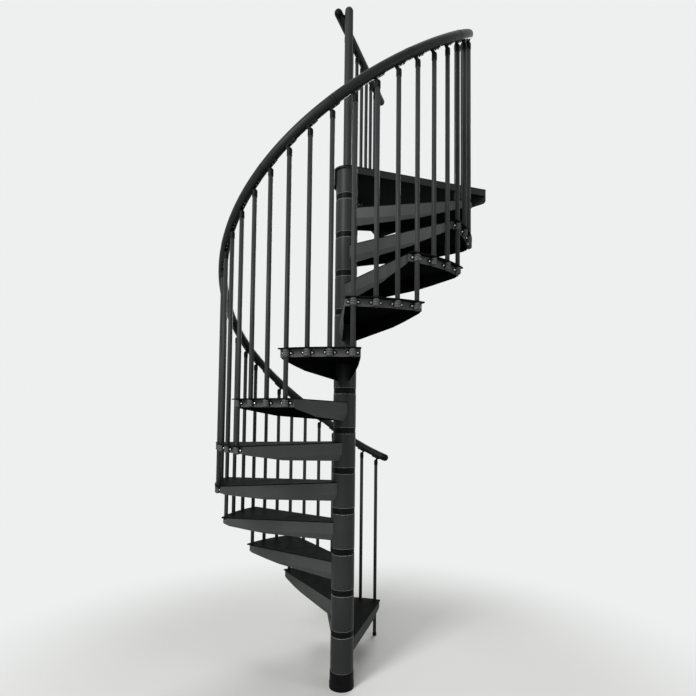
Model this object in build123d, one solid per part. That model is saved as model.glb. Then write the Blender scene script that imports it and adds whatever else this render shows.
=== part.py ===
from build123d import *
import os
from math import atan2, cos, degrees, radians, sin, sqrt

os.makedirs("parts", exist_ok=True)

# Spiral staircase of folded steel treads on a stacked column, turning left as it climbs.
# Millimetres. The axis of the column is Z, the floor is Z = 0.

# Stair as a whole
RISE = 220.0
TREAD_COUNT = 12
BALUSTER_PITCH_ANGLE = 8.395
BALUSTERS_PER_STEP = 3
STEP_ANGLE = BALUSTERS_PER_STEP * BALUSTER_PITCH_ANGLE
FIRST_BALUSTER_ANGLE = 70.9
BALUSTER_CIRCLE_R = 680.0
LANDING_LIFT = 8.0

# Column: hub tubes stacked on plastic spacers round an inner pole
HUB_R = 63.5
HUB_WALL = 3.0
HUB_END_T = 5.0
SPACER_H = 33.5
HUB_H = RISE - SPACER_H
HUB_TREAD_H = 141.0
SPACER_R = 62.5
SPACER_GROOVE_DEPTH = 2.5
SPACER_DISCS = 3
SPACER_GROOVE_H = 2.5
POLE_R = 24.0
POLE_CLEARANCE = 0.3
POLE_BORE_R = POLE_R + POLE_CLEARANCE

# Base
BASE_COVER_H = 91.0
BASE_COVER_R = 66.0
BASE_COVER_WALL = 3.0
BASE_COVER_TOP_T = 6.0
BASE_COVER_CHAMFER = 4.0
BASE_SKIRT_H = 31.0
BASE_SKIRT_STEP = 2.0
BASE_PLATE_R = 62.0
BASE_PLATE_T = 10.0
BASE_BOLT_CIRCLE_R = 45.0
BASE_BOLT_COUNT = 4
BASE_BOLT_HOLE_R = 5.5

# Heights of the first tread and the landing, top faces
FIRST_TREAD_Z = BASE_COVER_H + HUB_TREAD_H
LANDING_Z = FIRST_TREAD_Z + RISE * TREAD_COUNT + LANDING_LIFT

# Tread: a folded pan of sheet steel
SHEET_T = 3.0
COVER_T = 5.0
TREAD_HALF_ANGLE = 15.65
FLANGE_INNER_OFFSET = 38.5
FLANGE_CREASE_DEPTH = 60.0
FLANGE_DEPTH = 102.0
FLANGE_KNEE_SHARE = 0.65
FLANGE_KNEE_DEPTH = 75.0
FLANGE_OUTER_DEPTH = 38.0
FLANGE_CORNER_R = 26.0
FLANGE_LIP_ANGLE = 22.0
BAND_H = 35.0
BAND_RIM = 9.0
BALUSTER_R = 11.0
BALUSTER_CLEARANCE = 0.2
BAND_R = BALUSTER_CIRCLE_R - BALUSTER_R - BALUSTER_CLEARANCE
COVER_OVERHANG = 5.0
COVER_R = BALUSTER_CIRCLE_R + BALUSTER_R + COVER_OVERHANG
COVER_HOLE_R = BALUSTER_R + 0.6
COVER_HUB_GAP = 1.0
COVER_CORNER_R = 8.0

# Saddles that clamp the balusters to the outer band of a tread
SADDLE_T = 3.0
SADDLE_EAR_HALF_WIDTH = 30.0
SADDLE_H = 31.0
SADDLE_DROP = 1.5

# Balusters, their necks and the handrail
BALUSTER_FOOT_DROP = 50.0
RAIL_R = 24.0
RAIL_HEIGHT = 948.0
RAIL_EASE_PITCHES = 2.2
RAIL_EASE_LIFT = 38.0
RAIL_EASE_POWER = 1.75
RAIL_EASE_STOPS = 10
RAIL_START_PITCHES = -0.5
RAIL_END_PITCHES = 36.3
RAIL_JOINT_FIRST = 2.0
RAIL_JOINT_STEP = 3.5
RAIL_JOINT_LENGTH = 18.0
RAIL_GROOVE_W = 2.5
RAIL_GROOVE_DEPTH = 1.5
RAIL_CAP_LENGTH = 14.0
NECK_R = 12.5
NECK_H = 52.0
NECK_CAP_H = 38.0
NECK_INSERT = 14.0
TONGUE_WIDTH = 13.0
TONGUE_T = 11.0
PAD_LENGTH = 54.0
PAD_BACK = 8.0
PAD_WIDTH = 18.0
PAD_T = 6.0
PAD_BITE = 2.0

# Landing platform: a three-sided tray whose long sides are tangent to the column
PLATFORM_CENTRE_ANGLE = 43.7
PLATFORM_HALF_ANGLE = 25.4
PLATFORM_SIDE_OFFSET = 76.0
PLATFORM_OUTER_X = 760.0
PLATFORM_FRONT_DEPTH = 35.0
PLATFORM_FAR_DEPTH = 92.0
PLATFORM_END_DEPTH = 80.0
PLATFORM_END_BEVEL = 12.0
PLATFORM_COLLAR_SWEEP = 44.0
COLLAR_LAP_ANGLE = 2.0

# Landing balustrade
LANDING_RAIL_OFFSET = PLATFORM_SIDE_OFFSET - SHEET_T - BALUSTER_R - BALUSTER_CLEARANCE
LANDING_RAIL_START = 2.0
LANDING_RAIL_LENGTH = 860.0
LANDING_RAIL_Z = LANDING_Z + 954.0
LANDING_BALUSTER_COUNT = 7
LANDING_BALUSTER_FIRST = 124.0
LANDING_BALUSTER_STEP = 98.0
NEWEL_TOP_Z = LANDING_RAIL_Z + 28.0

RAIL_RISE_PER_PITCH = RISE / BALUSTERS_PER_STEP
RAIL_RUN_PER_PITCH = BALUSTER_CIRCLE_R * radians(BALUSTER_PITCH_ANGLE)
RAIL_ARC_PER_PITCH = sqrt(RAIL_RISE_PER_PITCH ** 2 + RAIL_RUN_PER_PITCH ** 2)
JOINT_PITCHES = RAIL_JOINT_LENGTH / RAIL_ARC_PER_PITCH
GROOVE_PITCHES = RAIL_GROOVE_W / RAIL_ARC_PER_PITCH
NECK_SEAT_CLEARANCE = 0.4
NECK_SEAT_R = RAIL_R + NECK_SEAT_CLEARANCE


def baluster_angle(index):
    return FIRST_BALUSTER_ANGLE + index * BALUSTER_PITCH_ANGLE


def tread_top(index):
    return FIRST_TREAD_Z + RISE * index


def rail_ease(pitches):
    # Share of the bottom bend that is still to come: 0 where the rail climbs evenly.
    return max(0.0, 1 - pitches / RAIL_EASE_PITCHES)


def rail_z(pitches):
    lift = RAIL_EASE_LIFT * rail_ease(pitches) ** RAIL_EASE_POWER
    return FIRST_TREAD_Z + RAIL_HEIGHT + pitches * RAIL_RISE_PER_PITCH + lift


def rail_slope(pitches):
    ease_rate = RAIL_EASE_LIFT * RAIL_EASE_POWER / RAIL_EASE_PITCHES
    climb = RAIL_RISE_PER_PITCH - ease_rate * rail_ease(pitches) ** (RAIL_EASE_POWER - 1)
    return degrees(atan2(climb, RAIL_RUN_PER_PITCH))


def rail_ahead(pitches):
    angle = radians(baluster_angle(pitches))
    slope = radians(rail_slope(pitches))
    return Vector(-sin(angle) * cos(slope), cos(angle) * cos(slope), sin(slope))


def on_circle(radius, angle, z):
    return Vector(radius * cos(radians(angle)), radius * sin(radians(angle)), z)


def tube(outer_r, inner_r, bottom, height):
    ring = Circle(outer_r) - Circle(inner_r)
    return Pos(0, 0, bottom) * extrude(ring, height)


def sector(radius, start, end):
    # Three-sided fan from the axis, wide enough to cut an arc of the given radius.
    middle = (start + end) / 2
    reach = 1.5 * radius
    rim = [on_circle(reach, angle, 0) for angle in (start, middle, end)]
    return make_face(Polyline((0, 0), *[(point.X, point.Y) for point in rim], close=True))


def rod(radius, centre, bottom, top):
    return Pos(centre.X, centre.Y, bottom) * extrude(Circle(radius), top - bottom)


def place_tread(solid, index):
    centre_angle = FIRST_BALUSTER_ANGLE + (index + 0.5) * STEP_ANGLE
    return Pos(0, 0, tread_top(index)) * Rot(0, 0, centre_angle) * solid


def save(name, solids):
    shape = solids[0] if len(solids) == 1 else Compound(children=list(solids))
    shape.label = name
    export_step(shape, "parts/" + name + ".step")


def hub_tube(height):
    outer = extrude(Circle(HUB_R), height)
    hollow = Pos(0, 0, HUB_END_T) * extrude(Circle(HUB_R - HUB_WALL), height - 2 * HUB_END_T)
    bore = extrude(Circle(POLE_BORE_R), height)
    return outer - hollow - bore


def spacer():
    body = tube(SPACER_R, POLE_BORE_R, 0, SPACER_H)
    pitch = SPACER_H / SPACER_DISCS
    for groove in range(1, SPACER_DISCS):
        middle = groove * pitch
        bottom = middle - SPACER_GROOVE_H / 2
        ring = tube(HUB_R, SPACER_R - SPACER_GROOVE_DEPTH, bottom, SPACER_GROOVE_H)
        body = body - ring
    return body


def base_cover():
    # The skirt at the foot stands a little proud of the sleeve over it.
    profile = [
        (BASE_COVER_R + BASE_SKIRT_STEP, 0),
        (BASE_COVER_R + BASE_SKIRT_STEP, BASE_SKIRT_H - BASE_SKIRT_STEP),
        (BASE_COVER_R, BASE_SKIRT_H),
        (BASE_COVER_R, BASE_COVER_H - BASE_COVER_CHAMFER),
        (BASE_COVER_R - BASE_COVER_CHAMFER, BASE_COVER_H),
        (POLE_BORE_R, BASE_COVER_H),
        (POLE_BORE_R, BASE_COVER_H - BASE_COVER_TOP_T),
        (BASE_COVER_R - BASE_COVER_WALL, BASE_COVER_H - BASE_COVER_TOP_T),
        (BASE_COVER_R - BASE_COVER_WALL, 0),
    ]
    face = make_face(Polyline(*profile, close=True))
    return revolve(Plane.XZ * face, Axis.Z)


def base_plate():
    plate = extrude(Circle(BASE_PLATE_R), BASE_PLATE_T)
    holes = extrude(Circle(BASE_BOLT_HOLE_R), BASE_PLATE_T)
    for spot in PolarLocations(BASE_BOLT_CIRCLE_R, BASE_BOLT_COUNT):
        plate = plate - spot * holes
    return plate


def tread_corner(side):
    return Vector(BAND_R * cos(radians(TREAD_HALF_ANGLE)), side * BAND_R * sin(radians(TREAD_HALF_ANGLE)))


def tread_flange(side):
    # Upper strip hangs straight down, the lower strip is folded in under the tread and tapers outwards.
    inner = Vector(0, side * FLANGE_INNER_OFFSET)
    outer = tread_corner(side)
    along = (outer - inner).normalized()
    inward = Vector(side * along.Y, -side * along.X) * 1.0
    length = (outer - inner).length
    knee = length * FLANGE_KNEE_SHARE
    taper = (FLANGE_KNEE_DEPTH - FLANGE_OUTER_DEPTH) / (length - knee)
    crease_end = knee + (FLANGE_KNEE_DEPTH - FLANGE_CREASE_DEPTH) / taper
    lip_at_hub = (FLANGE_DEPTH - FLANGE_CREASE_DEPTH) / cos(radians(FLANGE_LIP_ANGLE))
    lip_at_knee = (FLANGE_KNEE_DEPTH - FLANGE_CREASE_DEPTH) / cos(radians(FLANGE_LIP_ANGLE))
    origin = Vector(inner.X, inner.Y, -COVER_T)
    upper_plane = Plane(origin=origin, x_dir=along, z_dir=inward)
    down = upper_plane.to_local_coords(origin + Vector(0, 0, -1)).Y
    upper = make_face(Polyline(
        (0, 0),
        (length, 0),
        (length, down * FLANGE_OUTER_DEPTH),
        (crease_end, down * FLANGE_CREASE_DEPTH),
        (0, down * FLANGE_CREASE_DEPTH),
        close=True,
    ))
    end_corner = upper.vertices().sort_by_distance((length, down * FLANGE_OUTER_DEPTH))[0]
    upper = fillet(end_corner, FLANGE_CORNER_R)
    solid = extrude(upper_plane * upper, SHEET_T, dir=inward)
    crease = origin + Vector(0, 0, -FLANGE_CREASE_DEPTH)
    lean = radians(FLANGE_LIP_ANGLE)
    lip_down = Vector(0, 0, -cos(lean)) + inward * sin(lean)
    lip_in = inward * cos(lean) + Vector(0, 0, sin(lean))
    lip_plane = Plane(origin=crease, x_dir=along, z_dir=lip_in)
    sense = lip_plane.to_local_coords(crease + lip_down).Y
    lower = make_face(Polyline(
        (0, 0),
        (crease_end, 0),
        (knee, sense * lip_at_knee),
        (0, sense * lip_at_hub),
        close=True,
    ))
    return solid + extrude(lip_plane * lower, SHEET_T, dir=lip_in)


def tread_outline(outer_r, margin):
    # Wedge between the two side lines, closed by an arc round the column axis.
    corner = tread_corner(1)
    slope = (corner.Y - FLANGE_INNER_OFFSET) / corner.X
    half = FLANGE_INNER_OFFSET + margin
    a = 1 + slope * slope
    b = 2 * slope * half
    c = half * half - outer_r * outer_r
    x = (-b + sqrt(b * b - 4 * a * c)) / (2 * a)
    y = half + slope * x
    edges = Polyline((x, -y), (0, -half), (0, half), (x, y))
    arc = ThreePointArc((x, y), (outer_r, 0), (x, -y))
    return make_face([edges, arc])


def tread_pan():
    top = Pos(0, 0, -COVER_T - SHEET_T) * extrude(tread_outline(BAND_R, 0), SHEET_T)
    wedge = tread_outline(BAND_R, 0)
    band_face = wedge - Circle(BAND_R - SHEET_T)
    band = Pos(0, 0, -COVER_T - BAND_H) * extrude(band_face, BAND_H)
    rim_face = wedge - Circle(BAND_R - BAND_RIM)
    rim = Pos(0, 0, -COVER_T - BAND_H) * extrude(rim_face, SHEET_T)
    pan = top + band + rim + tread_flange(1) + tread_flange(-1)
    reach = Pos(0, 0, -2 * FLANGE_DEPTH) * extrude(Circle(HUB_R), 3 * FLANGE_DEPTH)
    return pan - reach


def tread_cover():
    face = tread_outline(COVER_R, 1.0)
    face = fillet(face.vertices().sort_by(Axis.X)[-2:], COVER_CORNER_R) - Circle(HUB_R + COVER_HUB_GAP)
    for clamp in range(BALUSTERS_PER_STEP + 1):
        angle = (clamp - BALUSTERS_PER_STEP / 2) * BALUSTER_PITCH_ANGLE
        spot = on_circle(BALUSTER_CIRCLE_R, angle, 0)
        face = face - Pos(spot.X, spot.Y, 0) * Circle(COVER_HOLE_R)
    return Pos(0, 0, -COVER_T) * extrude(face, COVER_T)


def saddle():
    # Half-round strap over the baluster with an ear on each side against the band.
    ear_angle = degrees(SADDLE_EAR_HALF_WIDTH / BAND_R)
    ears = Circle(BAND_R + SADDLE_T) & sector(BAND_R, -ear_angle, ear_angle)
    strap = Pos(BALUSTER_CIRCLE_R, 0) * Circle(BALUSTER_R + SADDLE_T)
    face = ears + strap - Circle(BAND_R) - Pos(BALUSTER_CIRCLE_R, 0) * Circle(BALUSTER_R + BALUSTER_CLEARANCE)
    throat = Pos(BAND_R, 0) * Rectangle(2 * BALUSTER_R, 2 * BALUSTER_R)
    face = face - (throat & Circle(BALUSTER_CIRCLE_R))
    return Pos(0, 0, -COVER_T - SADDLE_DROP - SADDLE_H) * extrude(face, SADDLE_H)


def baluster_foot_z(index):
    if index == 0:
        return 0.0
    tread = (index - 1) // BALUSTERS_PER_STEP
    return tread_top(tread) - BALUSTER_FOOT_DROP


def neck_drop(axis_tilt):
    # From the axis of the rail down to the lower end of a neck.
    return RAIL_R / cos(radians(axis_tilt)) + NECK_H


def baluster(index):
    spot = on_circle(BALUSTER_CIRCLE_R, baluster_angle(index), 0)
    top = rail_z(index) - neck_drop(rail_slope(index)) + NECK_INSERT
    return rod(BALUSTER_R, spot, baluster_foot_z(index), top)


def neck(axis_tilt):
    # Round-headed cap over the baluster, hinged by a tongue to a pad under a rail that climbs along +Y.
    bottom = -neck_drop(axis_tilt)
    head = bottom + NECK_CAP_H - NECK_R
    cap = Pos(0, 0, bottom) * extrude(Circle(NECK_R), head - bottom) + Pos(0, 0, head) * Sphere(NECK_R)
    socket = Pos(0, 0, bottom) * extrude(Circle(BALUSTER_R), NECK_INSERT)
    tilt = Rot(axis_tilt, 0, 0)
    foot = head * sin(radians(axis_tilt))
    reach = -head * cos(radians(axis_tilt)) - RAIL_R + PAD_BITE
    tongue = tilt * Pos(0, foot, -RAIL_R + PAD_BITE - reach) * extrude(Rectangle(TONGUE_WIDTH, TONGUE_T), reach)
    pad_face = Rectangle(PAD_WIDTH, PAD_LENGTH)
    pad = tilt * Pos(0, -PAD_BACK, -RAIL_R - PAD_T + PAD_BITE) * extrude(pad_face, PAD_T)
    rail = tilt * Rot(90, 0, 0) * extrude(Circle(NECK_SEAT_R), 4 * RAIL_R, both=True)
    return cap + tongue + pad - socket - rail


def rail_segment(start, end, radius=RAIL_R):
    # The bottom bend needs a free curve; the rest is a plain helix.
    if start < RAIL_EASE_PITCHES:
        stops = [start + (end - start) * stop / RAIL_EASE_STOPS for stop in range(RAIL_EASE_STOPS + 1)]
        points = [on_circle(BALUSTER_CIRCLE_R, baluster_angle(stop), rail_z(stop)) for stop in stops]
        path = Spline(*points, tangents=(rail_ahead(start), rail_ahead(end)))
        return sweep(rail_plane(start) * Circle(radius), path=path)
    turn = (end - start) * BALUSTER_PITCH_ANGLE
    lead = RISE * 360.0 / STEP_ANGLE
    path = Helix(pitch=lead, height=lead * turn / 360.0, radius=BALUSTER_CIRCLE_R)
    section = Plane(origin=path @ 0, z_dir=path % 0) * Circle(radius)
    pipe = sweep(section, path=path, is_frenet=True)
    return Pos(0, 0, rail_z(start)) * Rot(0, 0, baluster_angle(start)) * pipe


def rail_plane(pitches):
    spot = on_circle(BALUSTER_CIRCLE_R, baluster_angle(pitches), rail_z(pitches))
    return Plane(origin=spot, z_dir=rail_ahead(pitches))


def rail_joint(pitches):
    # Flush collar between two narrow grooves.
    start = pitches - JOINT_PITCHES / 2
    end = pitches + JOINT_PITCHES / 2
    spigot = rail_segment(start, end, RAIL_R - RAIL_GROOVE_DEPTH)
    return spigot + rail_segment(start + GROOVE_PITCHES, end - GROOVE_PITCHES)


def end_cap():
    # Short plug with a domed end, pointing along +Z.
    plug = extrude(Circle(RAIL_R), RAIL_CAP_LENGTH)
    dome = Pos(0, 0, RAIL_CAP_LENGTH) * (Sphere(RAIL_R) & Pos(0, 0, RAIL_R) * Box(4 * RAIL_R, 4 * RAIL_R, 2 * RAIL_R))
    return plug + dome


def rail_joints():
    joints = []
    position = RAIL_JOINT_FIRST
    while position < RAIL_END_PITCHES - 1:
        joints.append(position)
        position = position + RAIL_JOINT_STEP
    return joints


def rail_spans():
    joints = rail_joints()
    starts = [RAIL_START_PITCHES] + [joint + JOINT_PITCHES / 2 for joint in joints]
    ends = [joint - JOINT_PITCHES / 2 for joint in joints] + [RAIL_END_PITCHES]
    return list(zip(starts, ends))


def platform_point(along, offset, side):
    # Point on a side of the platform: distance along it, and offset out from the column axis.
    lean = radians(PLATFORM_HALF_ANGLE)
    x = along * cos(lean) - offset * sin(lean)
    y = along * sin(lean) + offset * cos(lean)
    return Vector(x, side * y)


def platform_outline(inset):
    offset = PLATFORM_SIDE_OFFSET - inset
    lean = radians(PLATFORM_HALF_ANGLE)
    far_x = PLATFORM_OUTER_X - inset
    along = (far_x + offset * sin(lean)) / cos(lean)
    tangent = platform_point(0, offset, 1)
    corner = platform_point(along, offset, 1)
    edges = Polyline(
        (tangent.X, -tangent.Y),
        (corner.X, -corner.Y),
        (corner.X, corner.Y),
        (tangent.X, tangent.Y),
    )
    arc = ThreePointArc((tangent.X, tangent.Y), (-offset, 0), (tangent.X, -tangent.Y))
    return make_face([edges, arc])


def place_platform(solid):
    return Pos(0, 0, LANDING_Z) * Rot(0, 0, PLATFORM_CENTRE_ANGLE) * solid


def platform_side(side, depth):
    lean = radians(PLATFORM_HALF_ANGLE)
    along = (PLATFORM_OUTER_X + PLATFORM_SIDE_OFFSET * sin(lean)) / cos(lean)
    corner_a = platform_point(0, PLATFORM_SIDE_OFFSET, side)
    corner_b = platform_point(along, PLATFORM_SIDE_OFFSET, side)
    corner_c = platform_point(along - SHEET_T, PLATFORM_SIDE_OFFSET - SHEET_T, side)
    corner_d = platform_point(0, PLATFORM_SIDE_OFFSET - SHEET_T, side)
    face = make_face(Polyline(
        (corner_a.X, corner_a.Y),
        (corner_b.X, corner_b.Y),
        (corner_c.X, corner_c.Y),
        (corner_d.X, corner_d.Y),
        close=True,
    ))
    return Pos(0, 0, -COVER_T - depth) * extrude(face, depth)


def end_bevel():
    # Lower front corner of the end skirt is cut off at an angle.
    lean = radians(PLATFORM_HALF_ANGLE)
    along = (PLATFORM_OUTER_X + PLATFORM_SIDE_OFFSET * sin(lean)) / cos(lean)
    corner_y = platform_point(along, PLATFORM_SIDE_OFFSET, -1).Y
    bottom = -COVER_T - PLATFORM_END_DEPTH
    face = make_face(Polyline(
        (corner_y, bottom),
        (corner_y + PLATFORM_END_BEVEL, bottom),
        (corner_y, bottom + PLATFORM_END_BEVEL),
        close=True,
    ))
    return Pos(PLATFORM_OUTER_X - PLATFORM_END_BEVEL, 0, 0) * extrude(Plane.YZ * face, 2 * PLATFORM_END_BEVEL)


def landing_baluster_spots():
    steps = [LANDING_BALUSTER_FIRST + index * LANDING_BALUSTER_STEP for index in range(LANDING_BALUSTER_COUNT)]
    return [platform_point(step, LANDING_RAIL_OFFSET, 1) for step in steps]


def platform_hole_spots():
    last_angle = baluster_angle(TREAD_COUNT * BALUSTERS_PER_STEP) - PLATFORM_CENTRE_ANGLE
    return landing_baluster_spots() + [on_circle(BALUSTER_CIRCLE_R, last_angle, 0)]


def platform_face(margin):
    face = platform_outline(-margin) - Circle(POLE_BORE_R)
    for spot in platform_hole_spots():
        face = face - Pos(spot.X, spot.Y, 0) * Circle(COVER_HOLE_R)
    return face


def platform_pan():
    top = Pos(0, 0, -COVER_T - SHEET_T) * extrude(platform_face(0), SHEET_T)
    front = platform_side(-1, PLATFORM_FRONT_DEPTH)
    far = platform_side(1, PLATFORM_FAR_DEPTH)
    end_zone = Pos(PLATFORM_OUTER_X - SHEET_T / 2, 0) * Rectangle(SHEET_T, 4 * PLATFORM_OUTER_X)
    end_strip = platform_outline(0) & end_zone
    end = Pos(0, 0, -COVER_T - PLATFORM_END_DEPTH) * extrude(end_strip, PLATFORM_END_DEPTH) - end_bevel()
    start = 90 + PLATFORM_HALF_ANGLE - COLLAR_LAP_ANGLE
    collar_zone = sector(PLATFORM_SIDE_OFFSET, start, start + PLATFORM_COLLAR_SWEEP)
    collar_face = Circle(PLATFORM_SIDE_OFFSET) - Circle(PLATFORM_SIDE_OFFSET - SHEET_T)
    collar = Pos(0, 0, -COVER_T - PLATFORM_FAR_DEPTH) * extrude(collar_face & collar_zone, PLATFORM_FAR_DEPTH)
    return top + front + far + end + collar


def platform_cover():
    return Pos(0, 0, -COVER_T) * extrude(platform_face(1.0), COVER_T)


def platform_saddle():
    # Strap over a baluster that stands inside a straight side; the side's inner face is at Y = 0.
    axis_y = -BALUSTER_R - BALUSTER_CLEARANCE
    ears = Pos(0, -SADDLE_T / 2) * Rectangle(2 * SADDLE_EAR_HALF_WIDTH, SADDLE_T)
    strap = Pos(0, axis_y) * Circle(BALUSTER_R + SADDLE_T)
    throat = Pos(0, axis_y) * Circle(BALUSTER_R + BALUSTER_CLEARANCE) + Rectangle(BALUSTER_R, BALUSTER_R)
    beyond = Pos(0, 2 * BALUSTER_R) * Rectangle(8 * BALUSTER_R, 4 * BALUSTER_R)
    face = ears + strap - throat - beyond
    return Pos(0, 0, -COVER_T - SHEET_T - SADDLE_H) * extrude(face, SADDLE_H - SADDLE_DROP)


def landing_spot(along, offset):
    return platform_point(along, offset, 1).rotate(Axis.Z, PLATFORM_CENTRE_ANGLE)


# Column and base
save("base_plate", [base_plate()])
save("base_cover", [base_cover()])
hub_floors = [BASE_COVER_H + RISE * index for index in range(TREAD_COUNT + 1)]
top_hub_height = LANDING_Z - COVER_T - SHEET_T - hub_floors[-1]
save("hub_tubes", [Pos(0, 0, floor) * hub_tube(HUB_H) for floor in hub_floors[:-1]])
save("landing_hub", [Pos(0, 0, hub_floors[-1]) * hub_tube(top_hub_height)])
save("spacers", [Pos(0, 0, floor + HUB_H) * spacer() for floor in hub_floors[:-1]])
save("centre_pole", [rod(POLE_R, Vector(0, 0), BASE_PLATE_T, LANDING_Z)])
newel = rod(POLE_R, Vector(0, 0), LANDING_Z, NEWEL_TOP_Z - POLE_R) + Pos(0, 0, NEWEL_TOP_Z - POLE_R) * Sphere(POLE_R)
save("newel_post", [newel])

# Treads
pan = tread_pan()
cover = tread_cover()
clamp = saddle()
for index in range(TREAD_COUNT):
    save("tread_%02d" % (index + 1), [place_tread(pan, index)])

FLIGHTS = {"lower": range(0, 4), "middle": range(4, 8), "upper": range(8, 12)}
for flight, steps in FLIGHTS.items():
    save("tread_covers_" + flight, [place_tread(cover, index) for index in steps])
    clamps = []
    for index in steps:
        for place in range(BALUSTERS_PER_STEP + 1):
            angle = (place - BALUSTERS_PER_STEP / 2) * BALUSTER_PITCH_ANGLE
            clamps.append(place_tread(Rot(0, 0, angle) * clamp, index))
    save("saddles_" + flight, clamps)

# Balusters and their necks
LAST_BALUSTER = TREAD_COUNT * BALUSTERS_PER_STEP
for group in range(TREAD_COUNT // 2):
    first = group * 2 * BALUSTERS_PER_STEP
    last = LAST_BALUSTER if group == TREAD_COUNT // 2 - 1 else first + 2 * BALUSTERS_PER_STEP - 1
    save("balusters_%d" % (group + 1), [baluster(index) for index in range(first, last + 1)])
for flight, steps in FLIGHTS.items():
    first = steps[0] * BALUSTERS_PER_STEP
    last = LAST_BALUSTER if flight == "upper" else first + len(steps) * BALUSTERS_PER_STEP - 1
    necks = []
    for index in range(first, last + 1):
        spot = on_circle(BALUSTER_CIRCLE_R, baluster_angle(index), rail_z(index))
        necks.append(Pos(spot.X, spot.Y, spot.Z) * Rot(0, 0, baluster_angle(index)) * neck(rail_slope(index)))
    save("baluster_necks_" + flight, necks)

# Handrail
spans = rail_spans()
RAIL_PARTS = {"lower": spans[0:3], "left": spans[3:6], "front": spans[6:9], "upper": spans[9:]}
for name, pieces in RAIL_PARTS.items():
    save("handrail_" + name, [rail_segment(start, end) for start, end in pieces])
save("handrail_joints", [rail_joint(position) for position in rail_joints()])
low_end = rail_plane(RAIL_START_PITCHES)
low_cap = Plane(origin=low_end.origin, z_dir=-low_end.z_dir) * end_cap()
high_cap = rail_plane(RAIL_END_PITCHES) * end_cap()

# Landing
save("platform", [place_platform(platform_pan())])
save("platform_cover", [place_platform(platform_cover())])
landing_angle = PLATFORM_CENTRE_ANGLE + PLATFORM_HALF_ANGLE
start = landing_spot(LANDING_RAIL_START, LANDING_RAIL_OFFSET)
ahead = Vector(cos(radians(landing_angle)), sin(radians(landing_angle)), 0)
rail_from = Vector(start.X, start.Y, LANDING_RAIL_Z)
rail_to = rail_from + ahead * LANDING_RAIL_LENGTH
save("landing_rail", [Plane(origin=rail_from, z_dir=ahead) * extrude(Circle(RAIL_R), LANDING_RAIL_LENGTH)])
near_cap = Plane(origin=rail_from, z_dir=-ahead) * end_cap()
far_cap = Plane(origin=rail_to, z_dir=ahead) * end_cap()
save("rail_end_caps", [low_cap, high_cap, near_cap, far_cap])

landing_balusters = []
landing_necks = []
landing_saddles = []
level_neck = neck(0)
inner_saddle = platform_saddle()
for index in range(LANDING_BALUSTER_COUNT):
    spot = landing_spot(LANDING_BALUSTER_FIRST + index * LANDING_BALUSTER_STEP, LANDING_RAIL_OFFSET)
    top = LANDING_RAIL_Z - neck_drop(0) + NECK_INSERT
    landing_balusters.append(rod(BALUSTER_R, spot, LANDING_Z - COVER_T - BALUSTER_FOOT_DROP, top))
    landing_necks.append(Pos(spot.X, spot.Y, LANDING_RAIL_Z) * Rot(0, 0, landing_angle - 90) * level_neck)
    seat = landing_spot(LANDING_BALUSTER_FIRST + index * LANDING_BALUSTER_STEP, PLATFORM_SIDE_OFFSET - SHEET_T)
    landing_saddles.append(Pos(seat.X, seat.Y, LANDING_Z) * Rot(0, 0, landing_angle) * inner_saddle)
save("landing_balusters", landing_balusters)
save("landing_necks", landing_necks)
save("landing_saddles", landing_saddles)
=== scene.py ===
"""Spiral staircase: finishes, fasteners and small fittings, with the camera, the light and the floor."""
import math

import bmesh
import bpy
from mathutils import Matrix, Vector


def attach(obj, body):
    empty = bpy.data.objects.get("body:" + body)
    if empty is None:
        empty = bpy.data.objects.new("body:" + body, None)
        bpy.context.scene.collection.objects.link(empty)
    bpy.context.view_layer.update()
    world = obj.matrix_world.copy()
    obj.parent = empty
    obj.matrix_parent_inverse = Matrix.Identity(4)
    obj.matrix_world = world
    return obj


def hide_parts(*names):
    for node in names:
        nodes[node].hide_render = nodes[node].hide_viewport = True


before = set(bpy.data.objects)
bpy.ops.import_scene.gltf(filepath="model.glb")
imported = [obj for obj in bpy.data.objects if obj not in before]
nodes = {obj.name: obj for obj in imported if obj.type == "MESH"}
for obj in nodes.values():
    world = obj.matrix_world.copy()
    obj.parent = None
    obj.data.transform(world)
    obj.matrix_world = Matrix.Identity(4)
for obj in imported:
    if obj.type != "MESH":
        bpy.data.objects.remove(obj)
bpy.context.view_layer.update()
scene = bpy.context.scene

# Camera, in pixels of a square picture, metres and radians
PICTURE_SIZE = 696
SENSOR_MM = 36.0
FOCAL_PX = 502.5
AXIS_BELOW_CENTRE_PX = 41.2
CAMERA_SPOT = Vector((-0.0164, -2.8254, 1.4832))
CAMERA_YAW = -0.0121
CAMERA_PITCH = 0.0503
CAMERA_ROLL = 0.0112
CAMERA_REACH = 60.0

# Stair, metres and radians
RISE = 0.220
TREAD_COUNT = 12
BALUSTERS_PER_STEP = 3
BALUSTER_COUNT = TREAD_COUNT * BALUSTERS_PER_STEP + 1
PITCH_ANGLE = math.radians(8.395)
FIRST_ANGLE = math.radians(70.9)
FIRST_TREAD_Z = 0.232
RING_R = 0.680
BALUSTER_R = 0.011
BALUSTER_GAP = 0.0002
BAND_R = RING_R - BALUSTER_R - BALUSTER_GAP
COVER_T = 0.005
SHEET_T = 0.003
NEWEL_R = 0.024

# Balusters, their feet and the necks over them
BALUSTER_GROUPS = 6
BALUSTERS_PER_GROUP = 6
FOOT_DROP = 0.0415
FOOT_BREAK = 0.18
LANDING_FOOT_DROP = 0.050
NECK_H = 0.052
NECK_INSERT = 0.014

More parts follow.
